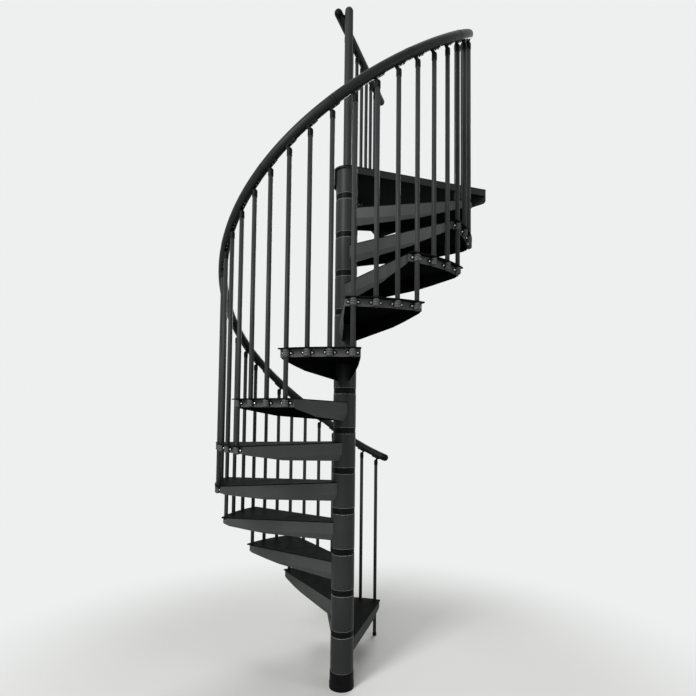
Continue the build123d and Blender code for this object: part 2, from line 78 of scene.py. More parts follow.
# Handrail on the flight
RAIL_R = 0.024
RAIL_HEIGHT = 0.948
RAIL_EASE_PITCHES = 2.2
RAIL_EASE_LIFT = 0.038
RAIL_EASE_POWER = 1.75
RAIL_RISE_PER_PITCH = RISE / BALUSTERS_PER_STEP
RAIL_RUN_PER_PITCH = RING_R * PITCH_ANGLE
JOINT_FIRST = 2.0
JOINT_STEP = 3.5
JOINT_COUNT = 10
JOINT_LENGTH = 0.018
GROOVE_W = 0.0025
GROOVE_DEPTH = 0.0015

# Landing and its rail
LANDING_LIFT = 0.008
LANDING_Z = FIRST_TREAD_Z + RISE * TREAD_COUNT + LANDING_LIFT
PLATFORM_CENTRE_DEG = 43.7
PLATFORM_HALF_DEG = 25.4
PLATFORM_SIDE_OFFSET = 0.076
LANDING_ANGLE = math.radians(PLATFORM_CENTRE_DEG + PLATFORM_HALF_DEG)
LANDING_RAIL_OFFSET = PLATFORM_SIDE_OFFSET - SHEET_T - BALUSTER_R - BALUSTER_GAP
LANDING_RAIL_HEIGHT = 0.954
LANDING_RAIL_Z = LANDING_Z + LANDING_RAIL_HEIGHT
LANDING_FIRST = 0.124
LANDING_STEP = 0.098
LANDING_BALUSTERS = 7
LANDING_STEPS = [LANDING_FIRST + LANDING_STEP * index for index in range(LANDING_BALUSTERS)]

# Saddles
SADDLE_T = 0.003
SADDLE_H = 0.031
SADDLE_DROP = 0.0015
SADDLE_MIDDLE = COVER_T + SADDLE_DROP + SADDLE_H / 2
LANDING_SADDLE_MIDDLE = COVER_T + SHEET_T + SADDLE_H / 2 + SADDLE_DROP / 2

# Ribs round the saddles
RIB_OUT = 0.0022
RIB_HALF_HEIGHT = 0.0044
RIB_SPACING = 0.0100
RIB_LEVELS = (-1, 0, 1)
RIB_STEPS = 14
RIB_SIDES = 10

# Bolts, washers and screws; domes and washers as shares of their radius and height
BOLT_OFFSET = 0.0212
BOLT_R = 0.0054
BOLT_H = 0.0050
BOLT_SOCKET_R = 0.0018
BOLT_STEPS = 20
DOME = ((0.50, 0.93), (0.74, 0.76), (0.91, 0.46), (1.0, 0.10))
SOCKET_FLOOR = 0.62
SOCKET_MOUTH = 0.97
SOCKET_FLARE = 1.2
WASHER_R = 0.0098
WASHER_T = 0.0014
WASHER_RIM = ((0.90, 1.0), (1.0, 0.6), (1.0, -0.3))
WASHER_STEPS = 24
SCREW_R = 0.0042
SCREW_H = 0.0030
SCREW_SOCKET = 0.35
SCREW_SPOTS = (-0.008, 0.011)
PAD_FACE = 0.028

# Rubber and plastic fittings: rings in the joints' grooves, foot plugs, floor collar
GASKET_W = 0.0034
GASKET_PROUD = 0.0007
GASKET_SHOULDER = 0.6
GASKET_CROWN = 0.4
GASKET_STEPS = 40
PLUG_H = 0.0035
PLUG_BITE = 0.0004
PLUG_R = 0.97
PLUG_ROUND = ((0.97, 0.4), (0.80, 0.9), (0.45, 1.0))
PLUG_STEPS = 20
COLLAR_R = 0.0135
COLLAR_H = 0.018
COLLAR_ROUND = ((0.0, 0.80), (0.0006, 0.93), (0.0016, 1.0))
COLLAR_STEPS = 28

# Arm between the newel and the landing rail; radii at distances from its ends
BRACKET_ALONG = 0.040
BRACKET_R = 0.0085
BRACKET_FLANGE_R = BRACKET_R * 1.45
BRACKET_ROUND = ((BRACKET_FLANGE_R, 0.0030), (BRACKET_R * 1.25, 0.0042), (BRACKET_R, 0.0060))
BRACKET_BITE = 0.0015
BRACKET_SEAT = 0.0040
BAR_STEPS = 24

# Finishes: ranges of the noises, worn edges that are partly painted highlight, reach of the painted shade,
# and where each mask begins and is full
NOISE_RANGE = (0.3, 0.7)
MOTTLE_RANGE = (0.35, 0.65)
MOTTLE_SHARE = 0.7
SCUFF_RANGE = (0.42, 0.72)
WEAR_RANGE = (0.45, 0.70)
WORN_ROUGHNESS = (0.30, 0.20)
EDGE_R = 0.0012
EDGE_BEND = (0.01, 0.08)
EDGE_SAMPLES = 6
FOLD_REACH = 0.16
FOLD_SHADE = (0.50, 0.34)
CREASE_REACH = 0.008
CREASE_SHADE = (0.72, 0.45)
SHADE_SAMPLES = 6
UNDERSIDE_Z = (-0.55, -0.80)
FLANGE_INWARD = (-0.35, -0.60)
BAND_INWARD = (-0.55, -0.75)
PAN_REACH = 0.75 * RISE
TOP_COAT = 0.15
TOP_COAT_ROUGHNESS = 0.38
# Colours of the painted shade in crevices, on undersides and inside the tread pans and the tray
DARK_PAINTED_SHADE = (0.004, 0.0045, 0.004)
TRAY_PAINTED_SHADE = (0.010, 0.0112, 0.0106)

# Studio: surround, floor, and lamps by name, spot, target, size and power
BACKDROP = (0.855, 0.870, 0.865)
SKY = (0.95, 0.98, 1.0)
SKY_STRENGTH = 0.24
FLOOR_COLOUR = (0.55, 0.55, 0.535)
FLOOR_ROUGHNESS = 0.7
FLOOR_REACH = 14.0
FLOOR_SEGMENTS = 96
FLOOR_FADE = (1.1, 2.6)
LAMPS = (
    ("key", (-3.4, -4.2, 4.8), (0.0, 0.0, 1.8), (1.6, 2.4), 430.0),
    ("front", (-1.4, -5.4, 2.6), (0.0, 0.0, 1.4), (2.4, 2.4), 90.0),
    ("right", (3.8, -1.6, 2.4), (0.0, 0.0, 1.5), (1.2, 2.8), 48.0),
    ("back", (1.8, 4.6, 4.6), (0.0, 0.0, 1.8), (2.6, 2.6), 180.0),
    ("ceiling", (0.3, 0.4, 6.6), (0.0, 0.0, 1.6), (3.0, 3.0), 18.0),
)


def place_camera():
    """Camera at the photograph's height, distance and angle."""
    ahead = Vector((
        -math.sin(CAMERA_YAW) * math.cos(CAMERA_PITCH),
        math.cos(CAMERA_YAW) * math.cos(CAMERA_PITCH),
        math.sin(CAMERA_PITCH),
    ))
    right = Vector((math.cos(CAMERA_YAW), math.sin(CAMERA_YAW), 0))
    up = right.cross(ahead)
    right_rolled = math.cos(CAMERA_ROLL) * right + math.sin(CAMERA_ROLL) * up
    up_rolled = -math.sin(CAMERA_ROLL) * right + math.cos(CAMERA_ROLL) * up
    turn = Matrix((right_rolled, up_rolled, -ahead)).transposed()
    data = bpy.data.cameras.new("camera")
    data.sensor_width = SENSOR_MM
    data.sensor_fit = "HORIZONTAL"
    data.lens = SENSOR_MM * FOCAL_PX / PICTURE_SIZE
    data.shift_y = AXIS_BELOW_CENTRE_PX / PICTURE_SIZE
    data.clip_end = CAMERA_REACH
    camera = bpy.data.objects.new("camera", data)
    camera.matrix_world = Matrix.Translation(CAMERA_SPOT) @ turn.to_4x4()
    scene.collection.objects.link(camera)
    scene.camera = camera


class Shader:
    """Builds a material's node tree from short calls."""

    def __init__(self, name):
        self.material = bpy.data.materials.new(name)
        self.material.use_nodes = True
        self.tree = self.material.node_tree
        self.surface = self.tree.nodes["Principled BSDF"]
        self.coordinates = self.node("ShaderNodeTexCoord").outputs["Object"]

    def node(self, kind, **values):
        made = self.tree.nodes.new(kind)
        for key, value in values.items():
            setattr(made, key, value)
        return made

    def link(self, source, target):
        self.tree.links.new(source, target)

    def feed(self, socket, source):
        """Links one of the surface's sockets."""
        self.link(source, self.surface.inputs[socket])

    def fix(self, socket, value):
        """Sets one of the surface's sockets to a constant."""
        self.surface.inputs[socket].default_value = value

    def noise(self, scale, detail, roughness):
        made = self.node("ShaderNodeTexNoise")
        made.inputs["Scale"].default_value = scale
        made.inputs["Detail"].default_value = detail
        made.inputs["Roughness"].default_value = roughness
        self.link(self.coordinates, made.inputs["Vector"])
        return made.outputs["Fac"]

    def remap(self, value, limits, results=(0.0, 1.0)):
        """Value stretched from the limits to the results and held between them."""
        made = self.node("ShaderNodeMapRange")
        for socket, number in zip(("From Min", "From Max", "To Min", "To Max"), (*limits, *results)):
            made.inputs[socket].default_value = number
        self.link(value, made.inputs["Value"])
        return made.outputs["Result"]

    def math(self, operation, *values):
        made = self.node("ShaderNodeMath", operation=operation)
        for socket, value in zip(made.inputs, values):
            if isinstance(value, (int, float)):
                socket.default_value = value
            else:
                self.link(value, socket)
        return made.outputs[0]

    def mix(self, factor, first, second):
        """Blend of two colours, each a plain colour or another node's output."""
        made = self.node("ShaderNodeMix", data_type="RGBA")
        self.link(factor, made.inputs["Factor"])
        # The node's colour inputs are numbers 6 and 7, and its colour output is number 2.
        for socket, value in ((made.inputs[6], first), (made.inputs[7], second)):
            if isinstance(value, tuple):
                socket.default_value = (*value, 1.0)
            else:
                self.link(value, socket)
        return made.outputs[2]

    def split(self, vector):
        parts = self.node("ShaderNodeSeparateXYZ")
        self.link(vector, parts.inputs[0])
        return parts.outputs

    def rounded(self, radius):
        """Normal of the surface as if its edges were rounded."""
        made = self.node("ShaderNodeBevel", samples=EDGE_SAMPLES)
        made.inputs["Radius"].default_value = radius
        return made.outputs["Normal"]

    def edges(self, rounded):
        """Mask that is 1 on outer and inner edges and 0 on flat faces."""
        face = self.node("ShaderNodeNewGeometry").outputs["Normal"]
        dot = self.node("ShaderNodeVectorMath", operation="DOT_PRODUCT")
        self.link(rounded, dot.inputs[0])
        self.link(face, dot.inputs[1])
        return self.remap(self.math("SUBTRACT", 1.0, dot.outputs["Value"]), EDGE_BEND)

    def facing(self):
        """Parts of the normal of the real face."""
        return self.split(self.node("ShaderNodeNewGeometry").outputs["True Normal"])

    def shaded(self, reach, limits):
        """Mask that is 1 where near surfaces hide most of the surroundings."""
        made = self.node("ShaderNodeAmbientOcclusion", samples=SHADE_SAMPLES)
        made.inputs["Distance"].default_value = reach
        return self.remap(made.outputs["AO"], limits)

    def undersides(self):
        """Mask that is 1 on faces that look down."""
        return self.remap(self.facing()["Z"], UNDERSIDE_Z)

    def creases(self):
        """Mask for painted shade: 1 in narrow gaps and inner corners."""
        return self.shaded(CREASE_REACH, CREASE_SHADE)

    def tray_inside(self):
        """Mask for painted shade: 1 on undersides and deep in the platform's tray."""
        return self.math("MAXIMUM", self.undersides(), self.shaded(FOLD_REACH, FOLD_SHADE))

    def pan_inside(self):
        """Mask for painted shade: 1 on undersides and on faces that look into the hollow of a tread."""
        spot = self.split(self.coordinates)
        normal = self.facing()
        climbed = self.math("SUBTRACT", spot["Z"], FIRST_TREAD_Z - PAN_REACH)
        tread = self.math("FLOOR", self.math("DIVIDE", climbed, RISE))
        turn = self.math("MULTIPLY", self.math("ADD", tread, 0.5), BALUSTERS_PER_STEP * PITCH_ANGLE)
        middle = self.math("ADD", turn, FIRST_ANGLE)
        cosine = self.math("COSINE", middle)
        sine = self.math("SINE", middle)
        side = self.math("SIGN", self.across(spot, cosine, sine))
        sideways = self.math("MULTIPLY", side, self.across(normal, cosine, sine))
        from_flange = self.remap(sideways, FLANGE_INWARD)
        from_band = self.remap(self.along(normal, cosine, sine), BAND_INWARD)
        walls = self.math("MAXIMUM", from_flange, from_band)
        return self.math("MAXIMUM", self.undersides(), walls)

    def along(self, parts, cosine, sine):
        """Part of a vector that points out along the middle of the tread."""
        return self.math(
            "ADD", self.math("MULTIPLY", cosine, parts["X"]), self.math("MULTIPLY", sine, parts["Y"]))

    def across(self, parts, cosine, sine):
        """Part of a vector that points across the tread."""
        return self.math(
            "SUBTRACT", self.math("MULTIPLY", cosine, parts["Y"]), self.math("MULTIPLY", sine, parts["X"]))

    def bump(self, height, strength, distance, normal=None):
        made = self.node("ShaderNodeBump")
        made.inputs["Strength"].default_value = strength
        made.inputs["Distance"].default_value = distance
        self.link(height, made.inputs["Height"])
        if normal:
            self.link(normal, made.inputs["Normal"])
        self.feed("Normal", made.outputs["Normal"])


def painted_steel(name, dark, light, wear_and_highlight, rough, gloss, edge_r, grain=950.0, painted_shade_mask=None, painted_shade_colour=None):
    """Satin powder coat: faint mottling, fine orange peel, and edges painted lighter, partly as thin, worn
    coat and partly as painted highlight; where a mask is given, its places get painted shade and lose the top
    coat.
    """
    shader = Shader(name)
    broad = shader.noise(scale=4.0, detail=4.0, roughness=0.55)
    fine = shader.noise(scale=160.0, detail=2.0, roughness=0.6)
    broad = shader.math("MULTIPLY", broad, MOTTLE_SHARE)
    fine = shader.math("MULTIPLY", fine, 1 - MOTTLE_SHARE)
    tone = shader.math("ADD", broad, fine)
    rounded = shader.rounded(edge_r)
    body = shader.mix(shader.remap(tone, MOTTLE_RANGE), dark, light)
    # Edges painted lighter: partly wear, partly painted highlight
    body = shader.mix(shader.edges(rounded), body, wear_and_highlight)
    # Painted shade: where the mask is full, the colour goes to the painted shade colour and the top coat is
    # taken off
    if painted_shade_mask:
        hidden = painted_shade_mask(shader)
        body = shader.mix(hidden, body, painted_shade_colour)
        shader.feed("Coat Weight", shader.remap(hidden, (0.0, 1.0), (TOP_COAT, 0.0)))
        shader.fix("Coat Roughness", TOP_COAT_ROUGHNESS)
    shader.feed("Base Color", body)
    shader.feed("Roughness", shader.remap(tone, NOISE_RANGE, rough))
    peel = shader.noise(scale=grain, detail=2.0, roughness=0.55)
    shader.bump(peel, strength=0.25, distance=0.00012, normal=rounded)
    shader.fix("Specular IOR Level", gloss)
    return shader.material


def moulded_plastic(name, dark, light, rough, gloss):
    """Black moulded plastic with a fine spark-eroded grain."""
    shader = Shader(name)
    cloud = shader.noise(scale=18.0, detail=3.0, roughness=0.6)
    shader.feed("Base Color", shader.mix(shader.remap(cloud, NOISE_RANGE), dark, light))
    shader.feed("Roughness", shader.remap(cloud, NOISE_RANGE, rough))
    grain = shader.noise(scale=1200.0, detail=2.0, roughness=0.5)
    shader.bump(grain, strength=0.3, distance=0.00010, normal=shader.rounded(EDGE_R))
    shader.fix("Specular IOR Level", gloss)
    return shader.material


def tread_rubber(name, dark, light, rough, gloss):
    """Black anti-slip sheet: pebbled surface, dull, with paler scuffs."""
    shader = Shader(name)
    cells = shader.node("ShaderNodeTexVoronoi", feature="SMOOTH_F1")
    cells.inputs["Scale"].default_value = 260.0
    cells.inputs["Smoothness"].default_value = 0.6
    shader.link(shader.coordinates, cells.inputs["Vector"])
    scuff = shader.remap(shader.noise(scale=9.0, detail=5.0, roughness=0.62), SCUFF_RANGE)
    shader.feed("Base Color", shader.mix(scuff, dark, light))
    shader.feed("Roughness", shader.remap(scuff, (0.0, 1.0), rough))
    shader.bump(cells.outputs["Distance"], strength=0.35, distance=0.00025, normal=shader.rounded(EDGE_R))
    shader.fix("Specular IOR Level", gloss)
    return shader.material


def rail_sleeve(name, dark, light, rough, gloss):
    """Extruded handrail sleeve: very faint mottling and a soft satin gloss."""
    shader = Shader(name)
    cloud = shader.noise(scale=7.0, detail=4.0, roughness=0.6)
    fine = shader.noise(scale=220.0, detail=2.0, roughness=0.5)
    shader.feed("Base Color", shader.mix(shader.remap(cloud, NOISE_RANGE), dark, light))
    shader.feed("Roughness", shader.remap(fine, NOISE_RANGE, rough))
    shader.bump(shader.noise(scale=900.0, detail=2.0, roughness=0.5), strength=0.15, distance=0.00008)
    shader.fix("Specular IOR Level", gloss)
    return shader.material


def bolt_steel(name, dark, light):
    """Bare or darkened steel with worn, brighter high spots."""
    shader = Shader(name)
    wear_and_highlight = shader.remap(shader.noise(scale=420.0, detail=3.0, roughness=0.6), WEAR_RANGE)
    shader.feed("Base Color", shader.mix(wear_and_highlight, dark, light))
    shader.feed("Roughness", shader.remap(wear_and_highlight, (0.0, 1.0), WORN_ROUGHNESS))
    shader.bump(shader.noise(scale=1500.0, detail=2.0, roughness=0.5), strength=0.2, distance=0.00005)
    shader.fix("Metallic", 1.0)
    return shader.material


# Saddle paint, lighter than the pans' as a painted highlight on the straps and ribs, with painted shade in
# its gaps and inner corners
SADDLE_PAINT = painted_steel(
    "paint_anthracite", dark=(0.054, 0.059, 0.057), light=(0.068, 0.073, 0.070), wear_and_highlight=(0.160, 0.170, 0.165),
    rough=(0.40, 0.50), gloss=0.0, edge_r=0.0015, painted_shade_mask=Shader.creases, painted_shade_colour=DARK_PAINTED_SHADE)
PAN_PAINT = painted_steel(
    "paint_pans", dark=(0.038, 0.042, 0.040), light=(0.049, 0.053, 0.051), wear_and_highlight=(0.130, 0.138, 0.133),
    rough=(0.40, 0.50), gloss=0.0, edge_r=0.0020, painted_shade_mask=Shader.pan_inside, painted_shade_colour=DARK_PAINTED_SHADE)
# Tray paint, darker than the pans' as painted shade on the landing
TRAY_PAINT = painted_steel(
    "paint_tray", dark=(0.0155, 0.0171, 0.0167), light=(0.0205, 0.0221, 0.0217), wear_and_highlight=(0.080, 0.085, 0.083),
    rough=(0.40, 0.50), gloss=0.0, edge_r=0.0020, painted_shade_mask=Shader.tray_inside, painted_shade_colour=TRAY_PAINTED_SHADE)
HUB_PAINT = painted_steel(
    "paint_hubs", dark=(0.017, 0.0185, 0.018), light=(0.023, 0.0245, 0.024), wear_and_highlight=(0.26, 0.27, 0.265),
    rough=(0.38, 0.48), gloss=0.08, edge_r=0.0042)
POST_PAINT = painted_steel(
    "paint_posts", dark=(0.020, 0.0220, 0.0213), light=(0.027, 0.0290, 0.028), wear_and_highlight=(0.05, 0.053, 0.051),
    rough=(0.36, 0.44), gloss=0.06, edge_r=EDGE_R, grain=1100.0)
RUBBER = tread_rubber(
    "tread_sheet", dark=(0.003, 0.0034, 0.0032), light=(0.006, 0.0065, 0.006),
    rough=(0.52, 0.68), gloss=0.01)
PLASTIC = moulded_plastic(
    "black_plastic", dark=(0.002, 0.0023, 0.0021), light=(0.004, 0.0044, 0.0041),
    rough=(0.40, 0.52), gloss=0.05)
SLEEVE = rail_sleeve(
    "rail_sleeve", dark=(0.009, 0.0103, 0.0098), light=(0.0135, 0.015, 0.0143),
    rough=(0.38, 0.46), gloss=0.07)
BOLT = bolt_steel("bolt_steel", dark=(0.36, 0.365, 0.365), light=(0.66, 0.66, 0.66))
SCREW = bolt_steel("screw_steel", dark=(0.055, 0.057, 0.057), light=(0.14, 0.14, 0.14))
BARE = bolt_steel("bare_steel", dark=(0.30, 0.30, 0.30), light=(0.48, 0.48, 0.48))

# Finish by the start of a node's name; the saddles, which have none of these starts, get their own paint
NODE_FINISHES = (
    ("tread_covers", RUBBER),
    ("platform_cover", RUBBER),
    ("spacers", PLASTIC),
    ("base_cover", PLASTIC),
    ("baluster_necks", PLASTIC),
    ("landing_necks", PLASTIC),
    ("rail_end_caps", PLASTIC),
    ("handrail", SLEEVE),
    ("landing_rail", SLEEVE),
    ("balusters", POST_PAINT),
    ("landing_balusters", POST_PAINT),
    ("newel_post", POST_PAINT),
    ("tread_", PAN_PAINT),
    ("platform", TRAY_PAINT),
    ("hub_tubes", HUB_PAINT),
    ("landing_hub", HUB_PAINT),
    ("centre_pole", BARE),
    ("base_plate", BARE),
)


def finish_nodes():
    """Gives every fixed node the finish of its kind."""
    for name, thing in nodes.items():
        finish = next((material for start, material in NODE_FINISHES if name.startswith(start)), SADDLE_PAINT)
        thing.data.materials.clear()
        thing.data.materials.append(finish)


def merged(name, placed_forms):
    """One mesh that holds every form at its own placement."""
    whole = bmesh.new()
    for form, spot in placed_forms:
        copy = form.copy()
        copy.transform(spot)
        loose = bpy.data.meshes.new("loose")
        copy.to_mesh(loose)
        copy.free()
        whole.from_mesh(loose)
        bpy.data.meshes.remove(loose)
    mesh = bpy.data.meshes.new(name)
    whole.to_mesh(mesh)
    whole.free()
    return mesh


def add_piece(name, placed_forms, material):
    """Adds a piece that rides on the stair, made of (form, placement) pairs."""
    mesh = merged(name, placed_forms)
    mesh.materials.append(material)
    piece = bpy.data.objects.new(name, mesh)
    scene.collection.objects.link(piece)
    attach(piece, "root")
    return piece


def copies(form, spots):
    return [(form, spot) for spot in spots]


def circle(form, radius, height, steps):
    """Vertices round +Z, or a single one on the axis where the radius is zero."""
    if radius == 0:
        return [form.verts.new((0, 0, height))]
    turns = [2 * math.pi * step / steps for step in range(steps)]
    return [form.verts.new((radius * math.cos(turn), radius * math.sin(turn), height)) for turn in turns]


def skin(form, first, second):
    """Faces between two closed rows of vertices, either of which may be a single point."""
    steps = max(len(first), len(second))
    for step in range(steps):
        after = (step + 1) % steps
        corners = [first[step % len(first)], first[after % len(first)]]
        corners += [second[after % len(second)], second[step % len(second)]]
        form.faces.new(list(dict.fromkeys(corners)))


def smoothed(form):
    """The form with its normals outward and its faces shaded smooth."""
    bmesh.ops.recalc_face_normals(form, faces=form.faces)
    for face in form.faces:
        face.smooth = True
    return form


def turned(profile, steps):
    """Solid of revolution round +Z from (radius, height) points that start and end on the axis."""
    form = bmesh.new()
    rows = [circle(form, radius, height, steps) for radius, height in profile]
    for first, second in zip(rows, rows[1:]):
        skin(form, first, second)
    return smoothed(form)


def ring(profile, steps):
    """Closed ring round +Z from (radius, height) points, none of them on the axis."""
    form = bmesh.new()
    rows = [circle(form, radius, height, steps) for radius, height in profile]
    for first, second in zip(rows, rows[1:] + rows[:1]):
        skin(form, first, second)
    return smoothed(form)


def dome_bolt(radius, height, socket_r, foot):
    """Domed bolt head with a small socket, standing along +Z from the given height."""
    socket = [
        (0.0, foot + height * SOCKET_FLOOR),
        (socket_r, foot + height * SOCKET_FLOOR),
        (socket_r, foot + height * SOCKET_MOUTH),
        (socket_r * SOCKET_FLARE, foot + height),
    ]
    dome = [(radius * across, foot + height * up) for across, up in DOME]
    base = [(radius, foot - WASHER_T / 2), (0.0, foot - WASHER_T / 2)]
    return turned(socket + dome + base, BOLT_STEPS)


def washer():
    """Flat washer with a broken edge, lying on the face at height zero."""
    rim = [(WASHER_R * across, WASHER_T * up) for across, up in WASHER_RIM]
    underside = rim[-1][1]
    return turned([(0.0, WASHER_T), *rim, (0.0, underside)], WASHER_STEPS)


def saddle_rib():
    """Bulged half ring round the outside of a saddle's strap; Y is up and Z points out."""
    form = bmesh.new()
    strap_r = BALUSTER_R + SADDLE_T
    rows = []
    for step in range(RIB_STEPS + 1):
        turn = math.pi * step / RIB_STEPS
        centre = Vector((strap_r * math.cos(turn), 0, strap_r * math.sin(turn)))
        out = Vector((math.cos(turn), 0, math.sin(turn)))
        row = []
        for side in range(RIB_SIDES):
            spin = 2 * math.pi * side / RIB_SIDES
            bulge = RIB_OUT * math.cos(spin) * out + RIB_HALF_HEIGHT * math.sin(spin) * Vector((0, 1, 0))
            row.append(form.verts.new(centre + bulge))
        rows.append(row)
    for first, second in zip(rows, rows[1:]):
        skin(form, first, second)
    form.faces.new(rows[0])
    form.faces.new(rows[-1])
    return smoothed(form)


def ring_point(angle, height):
    """Point on the balusters' circle."""
    return Vector((RING_R * math.cos(angle), RING_R * math.sin(angle), height))


def outward(angle, radius, height):
    """Placement whose Z points away from the column's axis at the given angle."""
    out = Vector((math.cos(angle), math.sin(angle), 0))
    along = Vector((-math.sin(angle), math.cos(angle), 0))
    turn = Matrix((along, Vector((0, 0, 1)), out)).transposed().to_4x4()
    return Matrix.Translation(out * radius + Vector((0, 0, height))) @ turn


def tread_top(index):
    return FIRST_TREAD_Z + RISE * index


def baluster_angle(pitches):
    return FIRST_ANGLE + pitches * PITCH_ANGLE


def rail_ease(pitches):
    return max(0.0, 1 - pitches / RAIL_EASE_PITCHES)


def rail_z(pitches):
    lift = RAIL_EASE_LIFT * rail_ease(pitches) ** RAIL_EASE_POWER
    return FIRST_TREAD_Z + RAIL_HEIGHT + pitches * RAIL_RISE_PER_PITCH + lift


def rail_slope(pitches):
    ease_rate = RAIL_EASE_LIFT * RAIL_EASE_POWER / RAIL_EASE_PITCHES
    climb = RAIL_RISE_PER_PITCH - ease_rate * rail_ease(pitches) ** (RAIL_EASE_POWER - 1)
    return math.atan2(climb, RAIL_RUN_PER_PITCH)


def rail_frame(pitches):
    """Placement on the rail's axis with Z along the rail."""
    angle = baluster_angle(pitches)
    slope = rail_slope(pitches)
    ahead = Vector((-math.sin(angle) * math.cos(slope), math.cos(angle) * math.cos(slope), math.sin(slope)))
    turn = ahead.to_track_quat("Z", "Y").to_matrix().to_4x4()
    return Matrix.Translation(ring_point(angle, rail_z(pitches))) @ turn


def landing_point(along, offset, height):
    """Point beside the landing's open side: distance along it, offset from the column's axis, height."""
    ahead = Vector((math.cos(LANDING_ANGLE), math.sin(LANDING_ANGLE), 0))
    aside = Vector((-math.sin(LANDING_ANGLE), math.cos(LANDING_ANGLE), 0))
    return ahead * along + aside * offset + Vector((0, 0, height))


def saddle_spots():
    """Angle and height of the middle of every saddle on the treads."""
    spots = []
    for tread in range(TREAD_COUNT):
        for place in range(BALUSTERS_PER_STEP + 1):
            angle = baluster_angle(BALUSTERS_PER_STEP * tread + place)
            spots.append((angle, tread_top(tread) - SADDLE_MIDDLE))
    return spots


def add_saddle_bolts():
    """A bolt with its washer on either side of every saddle."""
    swing = BOLT_OFFSET / BAND_R
    face = BAND_R + SADDLE_T
    spots = []
    for angle, height in saddle_spots():
        for side in (-1, 1):
            spots.append(outward(angle + side * swing, face, height))
    landing_face = PLATFORM_SIDE_OFFSET - SHEET_T - SADDLE_T
    landing_turn = outward(LANDING_ANGLE - math.pi / 2, 0, 0)
    for step in LANDING_STEPS:
        for side in (-1, 1):
            spot = landing_point(step + side * BOLT_OFFSET, landing_face, LANDING_Z - LANDING_SADDLE_MIDDLE)
            spots.append(Matrix.Translation(spot) @ landing_turn)
    bolt = dome_bolt(BOLT_R, BOLT_H, BOLT_SOCKET_R, WASHER_T)
    add_piece("saddle_bolts", copies(bolt, spots), BOLT)
    add_piece("saddle_washers", copies(washer(), spots), PLASTIC)


def add_saddle_ribs():
    spots = []
    for angle, height in saddle_spots():
        for level in RIB_LEVELS:
            spots.append(outward(angle, RING_R, height + level * RIB_SPACING))
    add_piece("saddle_ribs", copies(saddle_rib(), spots), SADDLE_PAINT)


def neck_frames():
    """Placement of every neck: origin on the rail's axis, Y up along the rail."""
    frames = []
    for index in range(BALUSTER_COUNT):
        angle = baluster_angle(index)
        turn = Matrix.Rotation(angle, 4, "Z") @ Matrix.Rotation(rail_slope(index), 4, "X")
        frames.append(Matrix.Translation(ring_point(angle, rail_z(index))) @ turn)
    landing_turn = Matrix.Rotation(LANDING_ANGLE - math.pi / 2, 4, "Z")
    for step in LANDING_STEPS:
        spot = landing_point(step, LANDING_RAIL_OFFSET, LANDING_RAIL_Z)
        frames.append(Matrix.Translation(spot) @ landing_turn)
    return frames


def add_neck_screws():
    """Two screws up through every neck's pad."""
    downward = Matrix.Rotation(math.pi, 4, "X")
    spots = []
    for neck in neck_frames():
        for along in SCREW_SPOTS:
            spots.append(neck @ Matrix.Translation((0, along, -PAD_FACE)) @ downward)
    screw = dome_bolt(SCREW_R, SCREW_H, SCREW_R * SCREW_SOCKET, 0.0)
    add_piece("neck_screws", copies(screw, spots), SCREW)


def add_foot_plugs():
    """Plugs in the lower ends of the landing's balusters."""
    rounding = [(BALUSTER_R * across, -PLUG_H * down) for across, down in PLUG_ROUND]
    plug = turned([(0.0, PLUG_BITE), (BALUSTER_R * PLUG_R, PLUG_BITE), *rounding, (0.0, -PLUG_H)], PLUG_STEPS)
    height = LANDING_Z - COVER_T - LANDING_FOOT_DROP
    spots = [Matrix.Translation(landing_point(step, LANDING_RAIL_OFFSET, height)) for step in LANDING_STEPS]
    add_piece("foot_plugs", copies(plug, spots), PLASTIC)


def add_balusters():
    """Balusters of the flight, closed at the foot just under the band of the tread."""
    for group in range(BALUSTER_GROUPS):
        first = group * BALUSTERS_PER_GROUP
        last_group = group == BALUSTER_GROUPS - 1
        stop = BALUSTER_COUNT if last_group else first + BALUSTERS_PER_GROUP
        bars = []
        for index in range(first, stop):
            foot = 0.0 if index == 0 else tread_top((index - 1) // BALUSTERS_PER_STEP) - FOOT_DROP
            top = rail_z(index) - RAIL_R / math.cos(rail_slope(index)) - NECK_H + NECK_INSERT
            bar = turned([
                (0.0, foot),
                (BALUSTER_R * (1 - FOOT_BREAK), foot),
                (BALUSTER_R, foot + BALUSTER_R * FOOT_BREAK),
                (BALUSTER_R, top),
                (0.0, top),
            ], BAR_STEPS)
            bars.append((bar, Matrix.Translation(ring_point(baluster_angle(index), 0))))
        name = "flight_balusters_%d" % (group + 1)
        piece = add_piece(name, bars, POST_PAINT)
        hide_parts("balusters_%d" % (group + 1))


def add_joint_gaskets():
    """Black rings in the two grooves of every rail joint."""
    swing = (JOINT_LENGTH - GROOVE_W) / 2 / math.hypot(RAIL_RISE_PER_PITCH, RAIL_RUN_PER_PITCH)
    spots = []
    for joint in range(JOINT_COUNT):
        middle = JOINT_FIRST + joint * JOINT_STEP
        spots.append(rail_frame(middle - swing))
        spots.append(rail_frame(middle + swing))
    half = GASKET_W / 2
    floor_r = RAIL_R - GROOVE_DEPTH
    shoulder_r = RAIL_R + GASKET_PROUD * GASKET_SHOULDER
    crown_r = RAIL_R + GASKET_PROUD
    gasket = ring([
        (floor_r, -half),
        (shoulder_r, -half),
        (crown_r, -half * GASKET_CROWN),
        (crown_r, half * GASKET_CROWN),
        (shoulder_r, half),
        (floor_r, half),
    ], GASKET_STEPS)
    add_piece("joint_gaskets", copies(gasket, spots), PLASTIC)


def add_floor_collar():
    """Collar round the first baluster where it stands on the floor."""
    inner = BALUSTER_R + BALUSTER_GAP
    rounding = [(COLLAR_R - inset, COLLAR_H * up) for inset, up in COLLAR_ROUND]
    collar = ring([(inner, 0.0), (COLLAR_R, 0.0), *rounding, (inner, COLLAR_H)], COLLAR_STEPS)
    spot = Matrix.Translation(ring_point(baluster_angle(0), 0))
    add_piece("floor_collar", [(collar, spot)], PLASTIC)


